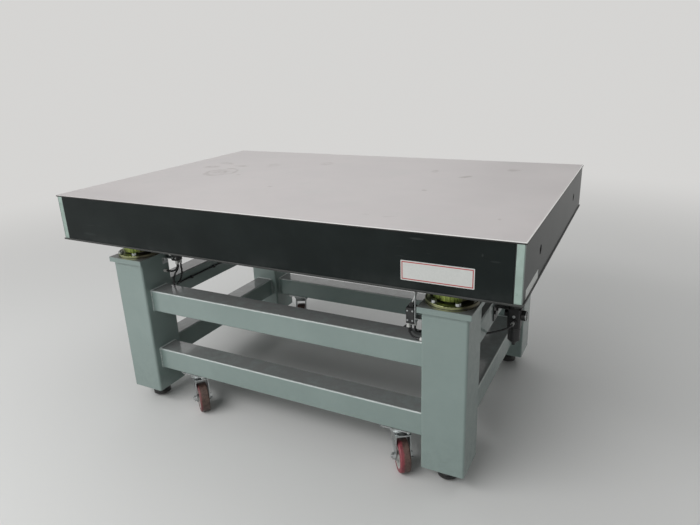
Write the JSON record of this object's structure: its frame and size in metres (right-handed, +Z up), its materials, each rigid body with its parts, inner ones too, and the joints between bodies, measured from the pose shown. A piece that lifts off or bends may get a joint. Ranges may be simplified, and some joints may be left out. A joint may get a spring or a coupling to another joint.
{
  "type": "weighing balance table",
  "caption": "Heavy vibration-isolated weighing table: thick damped top floating on air isolators in a welded square-tube frame with levelling feet and casters.",
  "frame": {"origin": "on the floor, under the middle of the table top", "axes": "+X along the long side, +Y from the front to the rear, +Z up"},
  "size_m": [1.5, 1, 0.76],
  "materials": {
    "steel_skin": "dull stainless steel sheet with faint stains",
    "dark_skin": "dull dark grey coating",
    "black_panel": "damped board under a satin black laminate",
    "core": "plain foil",
    "post": "satin",
    "bare_plate": "matt white",
    "plug": "black",
    "frame_paint": "satin grey green enamel",
    "zinc": "bright zinc plate",
    "yellow_zinc": "yellow passivated zinc",
    "diaphragm": "reinforced rubber",
    "piston": "machined",
    "hub": "cast",
    "tread": "red polyurethane, dirty",
    "foot": "black pad on a zinc plated stem",
    "valve_black": "black anodised",
    "lever": "zinc plated wire with a soft tip",
    "regulator_black": "satin black",
    "gauge": "black",
    "needle": "black",
    "fitting": "white",
    "air_tube": "black polyurethane"
  },
  "bodies": {
    "frame": {"leg_fl": "frame_paint", "leg_fr": "frame_paint", "leg_rl": "frame_paint", "leg_rr": "frame_paint", "upper_long_beams": "frame_paint", "upper_cross_beams": "frame_paint", "lower_long_beams": "frame_paint", "lower_cross_beams": "frame_paint", "isolator_chambers": "yellow_zinc", "isolator_flanges": "yellow_zinc", "isolator_diaphragms": "diaphragm", "isolator_bolts": "zinc", "caster_plates": "zinc", "caster_bolts": "zinc", "foot_lock_nuts": "zinc", "valve_brackets": "zinc", "valve_bodies": "valve_black", "regulator_bracket": "regulator_black", "regulator_body": "regulator_black", "regulator_bowl": "regulator_black", "gauge_case": "gauge", "air_fittings": "fitting", "air_tubes": "air_tube"},
    "table_top": {"top_skin": "steel_skin", "bottom_skin": "dark_skin", "honeycomb_core": "core", "front_panel": "black_panel", "rear_panel": "black_panel", "left_panel": "black_panel", "right_panel": "black_panel", "corner_posts": "post", "name_plates": "bare_plate", "lifting_plugs": "plug", "isolator_pistons": "piston", "load_collars": "yellow_zinc"},
    "caster_fl": {"fork_fl": "zinc", "axle_fl": "zinc"},
    "wheel_fl": {"hub_fl": "hub", "tyre_fl": "tread"},
    "caster_fr": {"fork_fr": "zinc", "axle_fr": "zinc"},
    "wheel_fr": {"hub_fr": "hub", "tyre_fr": "tread"},
    "caster_rl": {"fork_rl": "zinc", "axle_rl": "zinc"},
    "wheel_rl": {"hub_rl": "hub", "tyre_rl": "tread"},
    "caster_rr": {"fork_rr": "zinc", "axle_rr": "zinc"},
    "wheel_rr": {"hub_rr": "hub", "tyre_rr": "tread"},
    "foot_fl": {"foot_fl": "foot"},
    "foot_fr": {"foot_fr": "foot"},
    "foot_rl": {"foot_rl": "foot"},
    "foot_rr": {"foot_rr": "foot"},
    "lever_fr": {"valve_lever_fr": "lever"},
    "lever_fl": {"valve_lever_fl": "lever"},
    "lever_rl": {"valve_lever_rl": "lever"},
    "knob": {"regulator_knob": "regulator_black"},
    "needle": {"gauge_needle": "needle"}
  },
  "joints": [
    {"name": "top_float", "type": "slide", "parent": "frame", "child": "table_top", "axis": [0, 0, 1], "range_m": [0, 0.005]},
    {"name": "swivel_fl", "type": "hinge", "parent": "frame", "child": "caster_fl", "pos_m": [-0.358, -0.3715, 0.125], "axis": [0, 0, 1], "continuous": true},
    {"name": "wheel_spin_fl", "type": "hinge", "parent": "caster_fl", "child": "wheel_fl", "pos_m": [-0.33119, -0.394, 0.05], "axis": [0.6428, 0.766, 0], "continuous": true},
    {"name": "swivel_fr", "type": "hinge", "parent": "frame", "child": "caster_fr", "pos_m": [0.399, -0.3715, 0.125], "axis": [0, 0, 1], "continuous": true},
    {"name": "wheel_spin_fr", "type": "hinge", "parent": "caster_fr", "child": "wheel_fr", "pos_m": [0.41957, -0.39982, 0.05], "axis": [0.809, 0.5878, 0], "continuous": true},
    {"name": "swivel_rl", "type": "hinge", "parent": "frame", "child": "caster_rl", "pos_m": [-0.396, 0.3715, 0.125], "axis": [0, 0, 1], "continuous": true},
    {"name": "wheel_spin_rl", "type": "hinge", "parent": "caster_rl", "child": "wheel_rl", "pos_m": [-0.37957, 0.3406, 0.05], "axis": [0.8829, 0.4695, 0], "continuous": true},
    {"name": "swivel_rr", "type": "hinge", "parent": "frame", "child": "caster_rr", "pos_m": [0.396, 0.3715, 0.125], "axis": [0, 0, 1], "continuous": true},
    {"name": "wheel_spin_rr", "type": "hinge", "parent": "caster_rr", "child": "wheel_rr", "pos_m": [0.42467, 0.35142, 0.05], "axis": [0.5736, 0.8192, 0], "continuous": true},
    {"name": "foot_level_fl", "type": "slide", "parent": "frame", "child": "foot_fl", "axis": [0, 0, 1], "range_m": [-0.025, 0]},
    {"name": "foot_level_fr", "type": "slide", "parent": "frame", "child": "foot_fr", "axis": [0, 0, 1], "range_m": [-0.025, 0]},
    {"name": "foot_level_rl", "type": "slide", "parent": "frame", "child": "foot_rl", "axis": [0, 0, 1], "range_m": [-0.025, 0]},
    {"name": "foot_level_rr", "type": "slide", "parent": "frame", "child": "foot_rr", "axis": [0, 0, 1], "range_m": [-0.025, 0]},
    {"name": "lever_swing_fr", "type": "hinge", "parent": "frame", "child": "lever_fr", "pos_m": [0.449, -0.398, 0.53], "axis": [0, 1, 0], "range_deg": [-12, 0]},
    {"name": "lever_swing_fl", "type": "hinge", "parent": "frame", "child": "lever_fl", "pos_m": [-0.43, -0.328, 0.572], "axis": [0, 1, 0], "range_deg": [0, 12]},
    {"name": "lever_swing_rl", "type": "hinge", "parent": "frame", "child": "lever_rl", "pos_m": [-0.449, 0.398, 0.53], "axis": [0, 1, 0], "range_deg": [0, 12]},
    {"name": "knob_turn", "type": "hinge", "parent": "frame", "child": "knob", "pos_m": [0.6485, -0.05, 0.42], "axis": [0, 0, 1], "range_deg": [-337.5, 0]},
    {"name": "needle_swing", "type": "hinge", "parent": "frame", "child": "needle", "pos_m": [0.6783, -0.05, 0.39], "axis": [1, 0, 0], "range_deg": [-270, 0]}
  ],
  "couplings": [
    {"joint": "lever_swing_fr", "follows": "top_float", "rad_per_m": -38.462},
    {"joint": "lever_swing_fl", "follows": "top_float", "rad_per_m": 38.462},
    {"joint": "lever_swing_rl", "follows": "top_float", "rad_per_m": 38.462},
    {"joint": "needle_swing", "follows": "knob_turn", "ratio": 0.8}
  ]
}
